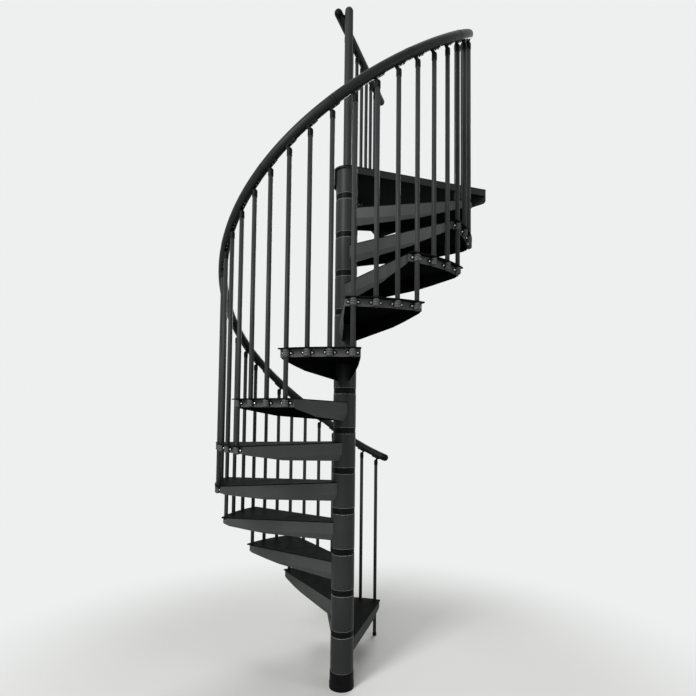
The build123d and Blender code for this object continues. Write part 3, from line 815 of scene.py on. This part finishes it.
def add_newel_bracket():
    """Short arm that holds the near end of the landing rail to the newel."""
    newel_point = Vector((0, 0, LANDING_RAIL_Z))
    reach = landing_point(BRACKET_ALONG, LANDING_RAIL_OFFSET, LANDING_RAIL_Z) - newel_point
    start = NEWEL_R - BRACKET_BITE
    end = reach.length - RAIL_R + BRACKET_BITE
    near = [(radius, start + along) for radius, along in BRACKET_ROUND]
    far = [(radius, end - along) for radius, along in reversed(BRACKET_ROUND)]
    seat = [(BRACKET_FLANGE_R, end + BRACKET_SEAT), (0.0, end + BRACKET_SEAT)]
    arm = turned([(0.0, start), (BRACKET_FLANGE_R, start), *near, *far, *seat], BAR_STEPS)
    spot = Matrix.Translation(newel_point) @ reach.to_track_quat("Z", "Y").to_matrix().to_4x4()
    add_piece("newel_bracket", [(arm, spot)], PLASTIC)


def sees_backdrop(tree):
    """Factor that is 1 for rays from the camera and for rays mirrored or let through by a surface."""
    path = tree.nodes.new("ShaderNodeLightPath")
    total = path.outputs["Is Camera Ray"]
    for kind in ("Is Glossy Ray", "Is Transmission Ray"):
        either = tree.nodes.new("ShaderNodeMath")
        either.operation = "MAXIMUM"
        tree.links.new(total, either.inputs[0])
        tree.links.new(path.outputs[kind], either.inputs[1])
        total = either.outputs[0]
    return total


def add_surround():
    """Pale surround that lights the stair softly and looks evenly bright."""
    world = bpy.data.worlds.new("studio")
    world.use_nodes = True
    scene.world = world
    tree = world.node_tree
    tree.nodes.clear()
    output = tree.nodes.new("ShaderNodeOutputWorld")
    sky = tree.nodes.new("ShaderNodeBackground")
    sky.inputs["Color"].default_value = (*SKY, 1.0)
    sky.inputs["Strength"].default_value = SKY_STRENGTH
    seen = tree.nodes.new("ShaderNodeBackground")
    seen.inputs["Color"].default_value = (*BACKDROP, 1.0)
    seen.inputs["Strength"].default_value = 1.0
    mix = tree.nodes.new("ShaderNodeMixShader")
    tree.links.new(sees_backdrop(tree), mix.inputs[0])
    tree.links.new(sky.outputs[0], mix.inputs[1])
    tree.links.new(seen.outputs[0], mix.inputs[2])
    tree.links.new(mix.outputs[0], output.inputs["Surface"])


def add_lamps():
    for name, spot, target, size, power in LAMPS:
        data = bpy.data.lights.new(name, "AREA")
        data.shape = "RECTANGLE"
        data.size, data.size_y = size
        data.energy = power
        lamp = bpy.data.objects.new(name, data)
        lamp.location = spot
        lamp.rotation_euler = (Vector(target) - Vector(spot)).to_track_quat("-Z", "Y").to_euler()
        scene.collection.objects.link(lamp)


def floor_paint():
    """Matt pale paint that melts into the backdrop with the distance from the stair."""
    material = bpy.data.materials.new("floor_paint")
    material.use_nodes = True
    tree = material.node_tree
    surface = tree.nodes["Principled BSDF"]
    surface.inputs["Base Color"].default_value = (*FLOOR_COLOUR, 1.0)
    surface.inputs["Roughness"].default_value = FLOOR_ROUGHNESS
    coordinates = tree.nodes.new("ShaderNodeTexCoord")
    length = tree.nodes.new("ShaderNodeVectorMath")
    length.operation = "LENGTH"
    fade = tree.nodes.new("ShaderNodeMapRange")
    fade.interpolation_type = "SMOOTHSTEP"
    fade.inputs["From Min"].default_value = FLOOR_FADE[0]
    fade.inputs["From Max"].default_value = FLOOR_FADE[1]
    seen = tree.nodes.new("ShaderNodeMath")
    seen.operation = "MULTIPLY"
    glow = tree.nodes.new("ShaderNodeEmission")
    glow.inputs["Color"].default_value = (*BACKDROP, 1.0)
    mix = tree.nodes.new("ShaderNodeMixShader")
    tree.links.new(coordinates.outputs["Object"], length.inputs[0])
    tree.links.new(length.outputs["Value"], fade.inputs["Value"])
    tree.links.new(fade.outputs["Result"], seen.inputs[0])
    tree.links.new(sees_backdrop(tree), seen.inputs[1])
    tree.links.new(seen.outputs[0], mix.inputs[0])
    tree.links.new(surface.outputs[0], mix.inputs[1])
    tree.links.new(glow.outputs[0], mix.inputs[2])
    tree.links.new(mix.outputs[0], tree.nodes["Material Output"].inputs["Surface"])
    return material


def add_floor():
    """Wide round floor under the stair."""
    form = bmesh.new()
    bmesh.ops.create_circle(form, cap_ends=True, segments=FLOOR_SEGMENTS, radius=FLOOR_REACH)
    mesh = bpy.data.meshes.new("floor")
    form.to_mesh(mesh)
    form.free()
    mesh.materials.append(floor_paint())
    floor = bpy.data.objects.new("floor", mesh)
    scene.collection.objects.link(floor)


place_camera()
finish_nodes()
add_saddle_bolts()
add_saddle_ribs()
add_neck_screws()
add_foot_plugs()
add_balusters()
add_joint_gaskets()
add_floor_collar()
add_newel_bracket()
add_floor()
add_surround()
add_lamps()
scene.view_settings.view_transform = "Standard"
